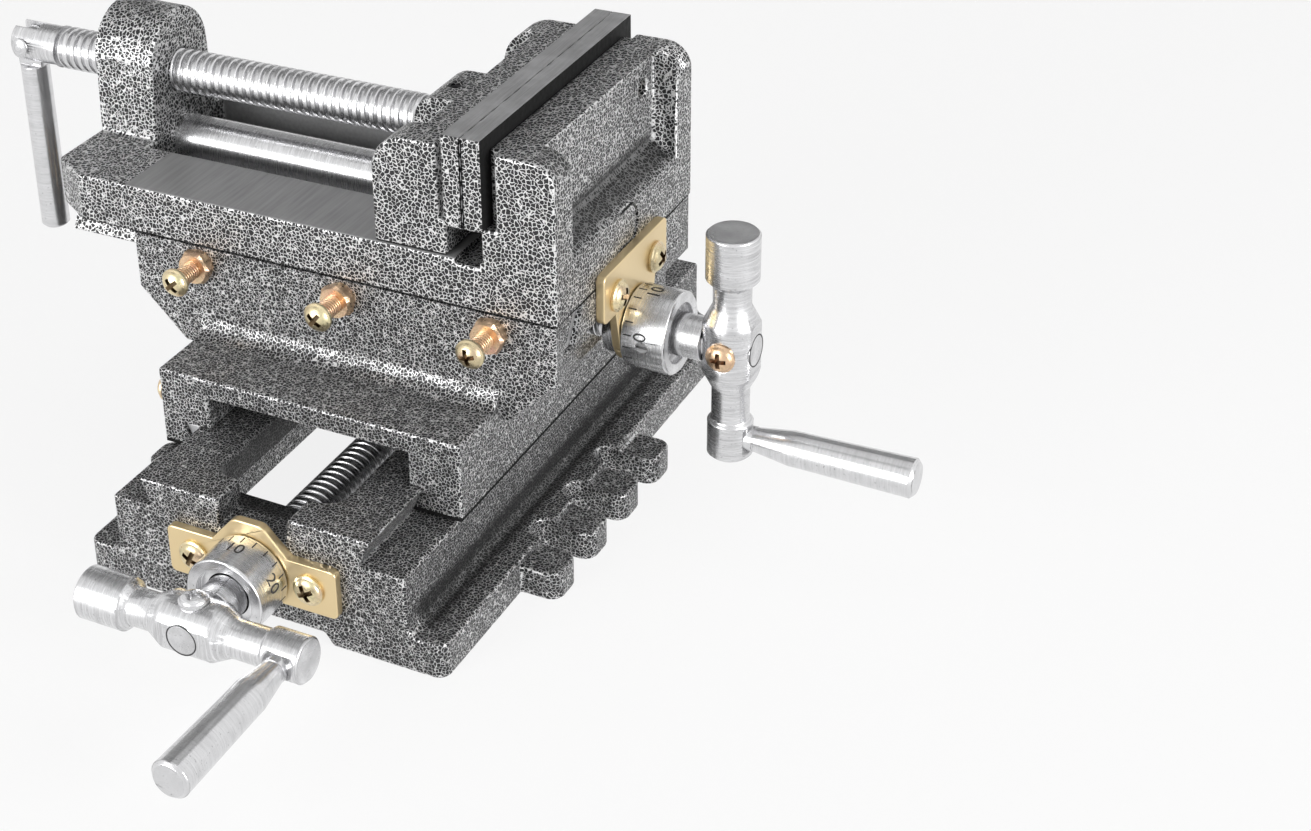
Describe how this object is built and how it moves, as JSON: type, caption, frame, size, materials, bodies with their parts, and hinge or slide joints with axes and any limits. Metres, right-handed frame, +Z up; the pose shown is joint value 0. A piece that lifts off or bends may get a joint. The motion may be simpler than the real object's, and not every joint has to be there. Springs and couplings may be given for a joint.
{
  "type": "cross slide vise",
  "caption": "Compound cross slide vise with two crank-driven slides, graduated dials and a screw-driven moving jaw for a drill press table.",
  "frame": {"origin": "middle of the base's footprint on the table", "axes": "+X from the clamp handle towards the fixed jaw, +Y from the lower crank towards the back of the base, +Z up from the table"},
  "size_m": [0.3164, 0.2975, 0.1454],
  "materials": {
    "hammered_paint": "hammered grey and silver enamel on castings",
    "yellow_zinc": "yellow zinc plate on steel",
    "ground_steel": "ground",
    "bright_steel": "turned and zinc plated",
    "dark_steel": "blackened",
    "raw_iron": "machined"
  },
  "bodies": {
    "base": {"base": "hammered_paint", "y_keeper_plate": "yellow_zinc", "y_keeper_screws": "yellow_zinc"},
    "saddle": {"saddle": "hammered_paint", "upper_gib": "ground_steel", "upper_gib_screws": "yellow_zinc", "upper_gib_locknuts": "yellow_zinc", "lower_gib": "ground_steel", "lower_gib_screws": "yellow_zinc", "lower_gib_locknuts": "yellow_zinc", "x_feed_nut": "raw_iron", "x_feed_nut_screw": "dark_steel", "y_feed_nut": "raw_iron", "y_feed_nut_screw": "dark_steel"},
    "bed": {"bed": "hammered_paint", "guide_rod": "bright_steel", "fixed_jaw_plate": "ground_steel", "fixed_jaw_plate_screws": "yellow_zinc", "x_keeper_plate": "yellow_zinc", "x_keeper_screws": "yellow_zinc"},
    "moving_jaw": {"moving_jaw": "hammered_paint", "moving_jaw_plate": "ground_steel", "moving_jaw_plate_screws": "yellow_zinc", "clamp_retaining_screw": "dark_steel"},
    "clamp_screw": {"clamp_screw": "bright_steel", "handle_rivet": "bright_steel"},
    "clamp_handle": {"clamp_handle": "bright_steel"},
    "x_feed": {"x_feed_screw": "bright_steel", "x_dial": "bright_steel", "x_dial_pin": "dark_steel", "x_crank": "bright_steel", "x_crank_screw": "yellow_zinc", "x_crank_grip": "bright_steel"},
    "y_feed": {"y_feed_screw": "bright_steel", "y_dial": "bright_steel", "y_dial_pin": "dark_steel", "y_crank": "bright_steel", "y_crank_screw": "bright_steel", "y_crank_grip": "bright_steel"}
  },
  "joints": [
    {"name": "y_slide", "type": "slide", "parent": "base", "child": "saddle", "axis": [0, 1, 0], "range_m": [-0.05, 0.05]},
    {"name": "x_slide", "type": "slide", "parent": "saddle", "child": "bed", "axis": [1, 0, 0], "range_m": [0, 0.064]},
    {"name": "jaw_slide", "type": "slide", "parent": "bed", "child": "moving_jaw", "axis": [1, 0, 0], "range_m": [-0.088, 0]},
    {"name": "clamp_turn", "type": "hinge", "parent": "moving_jaw", "child": "clamp_screw", "pos_m": [0, 0, 0.1235], "axis": [1, 0, 0], "range_deg": [-10560, 0]},
    {"name": "handle_fold", "type": "hinge", "parent": "clamp_screw", "child": "clamp_handle", "pos_m": [-0.1465, 0, 0.1235], "axis": [0, 1, 0], "range_deg": [0, 180]},
    {"name": "x_feed_turn", "type": "hinge", "parent": "bed", "child": "x_feed", "pos_m": [0.072, 0, 0.0675], "axis": [1, 0, 0], "range_deg": [0, 7680]},
    {"name": "y_feed_turn", "type": "hinge", "parent": "base", "child": "y_feed", "pos_m": [0, -0.1035, 0.021], "axis": [0, 1, 0], "range_deg": [-6000, 6000]}
  ],
  "couplings": [
    {"joint": "clamp_turn", "follows": "jaw_slide", "rad_per_m": 2094.4},
    {"joint": "x_feed_turn", "follows": "x_slide", "rad_per_m": 2094.4},
    {"joint": "y_feed_turn", "follows": "y_slide", "rad_per_m": 2094.4}
  ]
}
